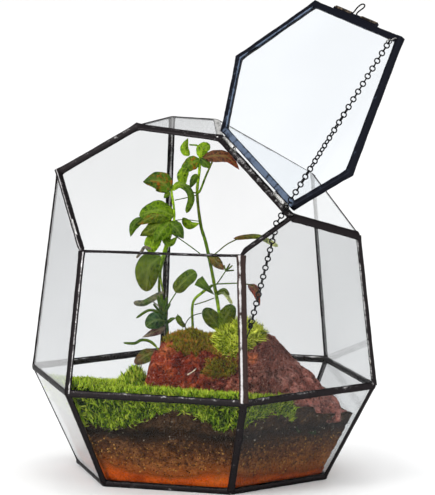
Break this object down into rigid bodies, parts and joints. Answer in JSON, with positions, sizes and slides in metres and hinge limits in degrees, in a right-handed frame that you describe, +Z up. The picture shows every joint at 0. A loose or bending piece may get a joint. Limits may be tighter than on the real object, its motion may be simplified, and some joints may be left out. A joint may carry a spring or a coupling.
{
  "type": "glass plant terrarium",
  "caption": "Faceted glass jar with dark soldered seams and an open hinged lid on a chain, planted with soil layers, moss, lava rock and vines.",
  "frame": {"origin": "on the table, under the middle of the whole object's box with the lid open, 6.6 mm to the right of the jar's own axis", "axes": "+Z up, -Y out of the front face of the hexagonal jar, +X to the right, the side the lid opens to"},
  "size_m": [0.2382, 0.1948, 0.2917],
  "materials": {
    "glass": "clear float glass, faintly green at its edges",
    "solder": "rounded solder bead with a dark bronze to black patina",
    "wire": "bare tinned wire and tube with dark patina in the joints",
    "chain": "blackened round-link chain",
    "clay": "orange clay and sand, matt and grainy",
    "soil": "brown potting soil with golden flecks",
    "charcoal": "near-black crumbly layer",
    "moss": "fine bright green moss",
    "rock": "porous red-brown lava rock",
    "leaf": "waxy green leaves and stems, some tinged red-brown"
  },
  "bodies": {
    "jar": {"base_pane": "glass", "lower_pane_front": "glass", "lower_pane_front_right": "glass", "lower_pane_back_right": "glass", "lower_pane_back": "glass", "lower_pane_back_left": "glass", "lower_pane_front_left": "glass", "wall_pane_front": "glass", "wall_pane_front_right": "glass", "wall_pane_back_right": "glass", "wall_pane_back": "glass", "wall_pane_back_left": "glass", "wall_pane_front_left": "glass", "roof_pane_right": "glass", "roof_pane_back": "glass", "base_ring": "solder", "waist_ring": "solder", "opening_rim": "solder", "shoulder_band": "solder", "roof_ridge": "solder", "corner_post_front_left": "solder", "corner_post_front_right": "solder", "corner_post_right": "solder", "corner_post_back_right": "solder", "corner_post_back_left": "solder", "corner_post_left": "solder", "lower_seam_front_left": "solder", "lower_seam_front_right": "solder", "lower_seam_right": "solder", "lower_seam_back_right": "solder", "lower_seam_back_left": "solder", "lower_seam_left": "solder", "hinge_pin_back": "wire", "hinge_pin_front": "wire", "rim_catch": "wire", "chain_anchor": "wire", "chain": "chain", "clay_layer": "clay", "soil_layer": "soil", "charcoal_layer": "charcoal", "moss_carpet": "moss", "lava_rock": "rock", "rock_moss": "moss", "moss_mound": "moss", "tall_vine": "leaf", "left_vine": "leaf", "middle_sprig": "leaf", "low_sprig": "leaf", "mound_sprig": "leaf", "ground_sprig": "leaf"},
    "lid": {"lid_frame": "solder", "lid_pane": "glass", "hinge_tube_back": "wire", "hinge_tube_front": "wire", "latch_tube_left": "solder", "latch_tube_right": "solder", "chain_eye": "wire"},
    "latch_loop": {"latch_loop": "wire"}
  },
  "joints": [
    {"name": "lid_hinge", "type": "hinge", "parent": "jar", "child": "lid", "pos_m": [-0.00799, 0.03887, 0.20885], "axis": [0.5966, -0.7352, -0.3218], "range_deg": [0, 144], "deforming": ["chain"]},
    {"name": "latch_swing", "type": "hinge", "parent": "lid", "child": "latch_loop", "pos_m": [0.0788, 0.03944, 0.28393], "axis": [0.708, -0.6855, -0.1699], "range_deg": [-100, 50]}
  ]
}
